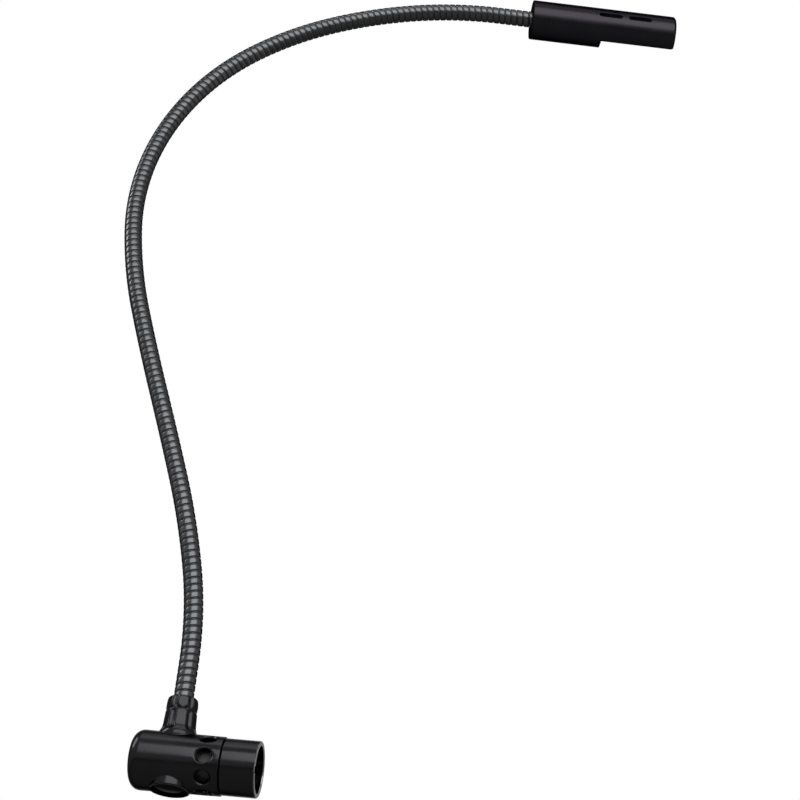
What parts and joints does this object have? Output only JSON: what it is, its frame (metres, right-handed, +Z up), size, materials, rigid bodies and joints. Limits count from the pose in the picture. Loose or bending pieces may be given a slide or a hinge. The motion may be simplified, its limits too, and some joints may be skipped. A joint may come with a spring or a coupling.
{
  "type": "gooseneck console lamp",
  "caption": "Gooseneck console lamp: a bendable ribbed neck on a right-angle plug, with a small lamp under a half-open tubular hood that turns and pulls off.",
  "frame": {"origin": "centre of the plug nose's front rim", "axes": "+X out of the nose along the plug's axis, +Z up along the collar but for its lean of 2 degrees, +Y to the left when looking along +X"},
  "size_m": [0.2153, 0.0426, 0.3798],
  "materials": {
    "black_metal": "satin black coating",
    "hood_metal": "satin black coating",
    "neck_metal": "black oxide, slightly glossy",
    "black_plastic": "matte",
    "plated_contact": "silver plated",
    "zinc_steel": "zinc plated",
    "nickel_brass": "nickel plated",
    "lamp_glass": "clear",
    "lead_jacket": "matte",
    "nylon": "matte"
  },
  "bodies": {
    "base": {"connector_housing": "black_metal", "nose_shell": "black_metal", "contact_insert": "black_plastic", "contact_pin_1": "plated_contact", "contact_pin_2": "plated_contact", "contact_pin_3": "plated_contact", "retaining_screw": "zinc_steel", "bottom_cap": "black_metal", "neck_root": "neck_metal", "lead_root": "lead_jacket"},
    "neck_01": {"neck_link_01": "neck_metal", "lead_01": "lead_jacket"},
    "neck_02": {"neck_link_02": "neck_metal", "lead_02": "lead_jacket"},
    "neck_03": {"neck_link_03": "neck_metal", "lead_03": "lead_jacket"},
    "neck_04": {"neck_link_04": "neck_metal", "lead_04": "lead_jacket"},
    "neck_05": {"neck_link_05": "neck_metal", "lead_05": "lead_jacket"},
    "neck_06": {"neck_link_06": "neck_metal", "lead_06": "lead_jacket"},
    "neck_07": {"neck_link_07": "neck_metal", "lead_07": "lead_jacket"},
    "neck_08": {"neck_link_08": "neck_metal", "lead_08": "lead_jacket"},
    "neck_09": {"neck_link_09": "neck_metal", "lead_09": "lead_jacket"},
    "neck_10": {"neck_link_10": "neck_metal", "lead_10": "lead_jacket"},
    "neck_11": {"neck_link_11": "neck_metal", "lead_11": "lead_jacket"},
    "head": {"neck_tip": "neck_metal", "lead_tip": "lead_jacket", "lamp_holder": "nickel_brass", "holder_insulator": "black_plastic", "contact_spring": "zinc_steel", "lamp_cap": "nickel_brass", "lamp_glass": "lamp_glass", "lamp_filament": "zinc_steel"},
    "plunger": {"contact_plunger": "nickel_brass"},
    "bush": {"hood_bush": "nylon"},
    "hood_body": {"hood": "hood_metal"}
  },
  "joints": [
    {"name": "neck_bend_01", "type": "hinge", "parent": "base", "child": "neck_01", "pos_m": [-0.03056, 0, 0.03623], "axis": [-0.1649, 0.9863, -0.0058], "range_deg": [-20, 20]},
    {"name": "neck_bend_02", "type": "hinge", "parent": "neck_01", "child": "neck_02", "pos_m": [-0.03584, -0.00067, 0.07301], "axis": [0.9548, 0.1611, 0.2499], "range_deg": [-20, 20]},
    {"name": "neck_bend_03", "type": "hinge", "parent": "neck_02", "child": "neck_03", "pos_m": [-0.04705, -0.00233, 0.10846], "axis": [-0.1649, 0.9863, -0.0058], "range_deg": [-20, 20]},
    {"name": "neck_bend_04", "type": "hinge", "parent": "neck_03", "child": "neck_04", "pos_m": [-0.06053, -0.00439, 0.14312], "axis": [0.9143, 0.1551, 0.3742], "range_deg": [-20, 20]},
    {"name": "neck_bend_05", "type": "hinge", "parent": "neck_04", "child": "neck_05", "pos_m": [-0.07371, -0.00639, 0.17789], "axis": [-0.1649, 0.9863, -0.0058], "range_deg": [-20, 20]},
    {"name": "neck_bend_06", "type": "hinge", "parent": "neck_05", "child": "neck_06", "pos_m": [-0.08322, -0.00777, 0.21382], "axis": [0.9712, 0.1634, 0.1732], "range_deg": [-20, 20]},
    {"name": "neck_bend_07", "type": "hinge", "parent": "neck_06", "child": "neck_07", "pos_m": [-0.08356, -0.00761, 0.25089], "axis": [-0.1649, 0.9863, -0.0058], "range_deg": [-20, 20]},
    {"name": "neck_bend_08", "type": "hinge", "parent": "neck_07", "child": "neck_08", "pos_m": [-0.07212, -0.00549, 0.28609], "axis": [0.8751, 0.1436, -0.4622], "range_deg": [-20, 20]},
    {"name": "neck_bend_09", "type": "hinge", "parent": "neck_08", "child": "neck_09", "pos_m": [-0.05013, -0.00164, 0.31569], "axis": [-0.1649, 0.9863, -0.0058], "range_deg": [-20, 20]},
    {"name": "neck_bend_10", "type": "hinge", "parent": "neck_09", "child": "neck_10", "pos_m": [-0.02051, 0.00344, 0.3375], "axis": [0.471, 0.0736, -0.879], "range_deg": [-20, 20]},
    {"name": "neck_bend_11", "type": "hinge", "parent": "neck_10", "child": "neck_11", "pos_m": [0.01335, 0.00919, 0.35171], "axis": [-0.1649, 0.9863, -0.0058], "range_deg": [-20, 20]},
    {"name": "neck_bend_12", "type": "hinge", "parent": "neck_11", "child": "head", "pos_m": [0.04949, 0.01527, 0.35782], "axis": [0.0435, 0.0014, -0.9991], "range_deg": [-20, 20]},
    {"name": "plunger_press", "type": "slide", "parent": "head", "child": "plunger", "axis": [-0.9853, -0.165, -0.0431], "range_m": [0, 0.0012], "stiffness_N_per_m": 600, "springref_m": -0.001, "deforming": ["contact_spring"]},
    {"name": "hood_turn", "type": "hinge", "parent": "head", "child": "bush", "pos_m": [0.06259, 0.01746, 0.3584], "axis": [0.9853, 0.165, 0.0431], "continuous": true},
    {"name": "hood_slide", "type": "slide", "parent": "bush", "child": "hood_body", "axis": [0.9853, 0.165, 0.0431], "range_m": [0, 0.064]}
  ]
}
